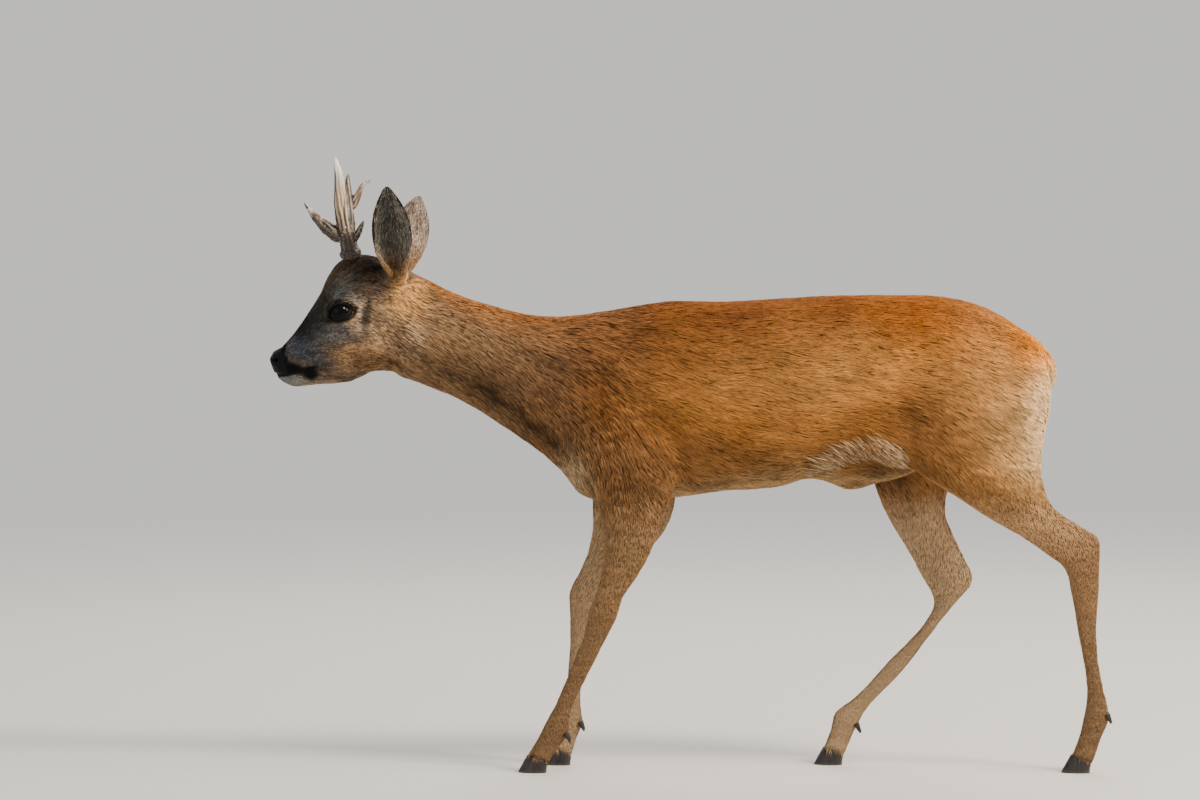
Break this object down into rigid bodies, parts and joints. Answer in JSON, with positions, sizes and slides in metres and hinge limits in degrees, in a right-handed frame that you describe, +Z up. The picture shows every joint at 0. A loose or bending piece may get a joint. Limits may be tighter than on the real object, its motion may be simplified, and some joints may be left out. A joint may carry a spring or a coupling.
{
  "type": "roe deer",
  "caption": "Life-size still figure of a roe buck in summer coat, walking with head and neck held low and forward.",
  "frame": {"origin": "on the floor, midway along and across the figure's bounding box", "axes": "+Z up; the buck faces -X, with its left side towards -Y and its right side towards +Y"},
  "size_m": [1.221, 0.201, 0.8947],
  "materials": {
    "coat": "short summer coat, rusty brown, lying flat and back along the body",
    "neck_coat": "short coat, brown with grey, streaked along the neck",
    "head_coat": "very short coat, grey-brown with a dark nose bridge",
    "leg_coat": "very short fawn coat",
    "foot_coat": "very short brown coat",
    "tail_coat": "cream coat",
    "ear_coat": "short grey-brown coat with a dark edge and pale hairs inside",
    "nose_skin": "moist black skin",
    "eye": "wet, very dark brown",
    "antler": "rough dark brown antler with small pearls",
    "antler_tine": "antler rubbed pale towards the tips",
    "hoof": "dark hard hoof",
    "dewclaw": "dark hard dewclaw"
  },
  "bodies": {
    "root": {"antler_left_back_tine": "antler_tine", "antler_left_beam": "antler", "antler_left_front_tine": "antler_tine", "antler_right_back_tine": "antler_tine", "antler_right_beam": "antler", "antler_right_front_tine": "antler_tine", "ear_left": "ear_coat", "ear_right": "ear_coat", "eye_left": "eye", "eye_right": "eye", "foreleg_left_cannon": "leg_coat", "foreleg_left_dewclaw_inner": "dewclaw", "foreleg_left_dewclaw_outer": "dewclaw", "foreleg_left_forearm": "leg_coat", "foreleg_left_hoof_inner": "hoof", "foreleg_left_hoof_outer": "hoof", "foreleg_left_pastern": "foot_coat", "foreleg_right_cannon": "leg_coat", "foreleg_right_dewclaw_inner": "dewclaw", "foreleg_right_dewclaw_outer": "dewclaw", "foreleg_right_forearm": "leg_coat", "foreleg_right_hoof_inner": "hoof", "foreleg_right_hoof_outer": "hoof", "foreleg_right_pastern": "foot_coat", "head": "head_coat", "hindleg_left_cannon": "leg_coat", "hindleg_left_dewclaw_inner": "dewclaw", "hindleg_left_dewclaw_outer": "dewclaw", "hindleg_left_hoof_inner": "hoof", "hindleg_left_hoof_outer": "hoof", "hindleg_left_pastern": "foot_coat", "hindleg_left_thigh": "leg_coat", "hindleg_right_cannon": "leg_coat", "hindleg_right_dewclaw_inner": "dewclaw", "hindleg_right_dewclaw_outer": "dewclaw", "hindleg_right_hoof_inner": "hoof", "hindleg_right_hoof_outer": "hoof", "hindleg_right_pastern": "foot_coat", "hindleg_right_thigh": "leg_coat", "neck": "neck_coat", "nose": "nose_skin", "tail": "tail_coat", "trunk": "coat"}
  },
  "joints": []
}
